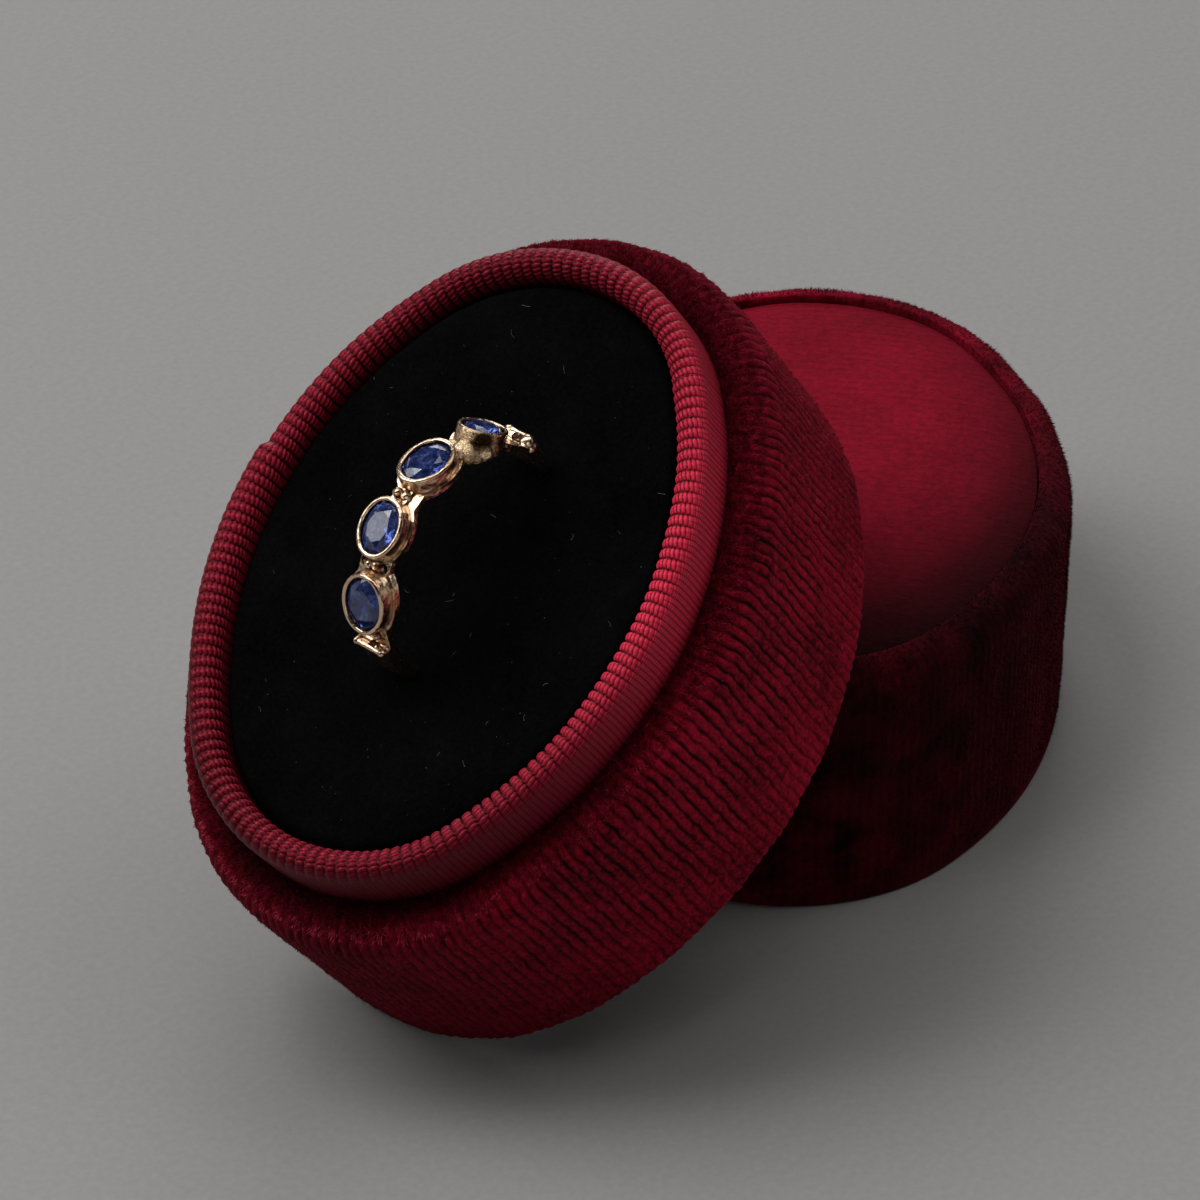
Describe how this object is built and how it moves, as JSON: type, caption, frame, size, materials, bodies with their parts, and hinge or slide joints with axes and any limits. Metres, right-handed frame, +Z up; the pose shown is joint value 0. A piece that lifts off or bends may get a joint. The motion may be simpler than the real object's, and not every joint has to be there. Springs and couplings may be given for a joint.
{
  "type": "pinky ring and ring box",
  "caption": "Gold pinky ring with a curved row of oval blue stones, standing in the black pad of an open oval velvet ring box, with the lift-off lid beside it.",
  "frame": {"origin": "centre of the underside of the whole set's bounding box, on the surface that it stands on", "axes": "+X from the leaning base towards the lid, the longest extent; +Y to the far side, along the ring's finger hole; +Z up"},
  "size_m": [0.0972, 0.0532, 0.0555],
  "materials": {
    "gold": "polished, hand worked",
    "blue_stone": "faceted and polished",
    "red_velvet": "short pile",
    "red_velvet_panel": "short pile, brushed flat",
    "red_ribbon": "ribbed ribbon with a soft sheen",
    "black_velvet": "short pile"
  },
  "bodies": {
    "root": {"ring_mount": "gold", "stone_1": "blue_stone", "stone_2": "blue_stone", "stone_3": "blue_stone", "stone_4": "blue_stone", "box_base": "red_velvet", "ribbon_collar": "red_ribbon", "ring_pad": "black_velvet", "lid_wall": "red_velvet", "lid_panel": "red_velvet_panel"}
  },
  "joints": []
}
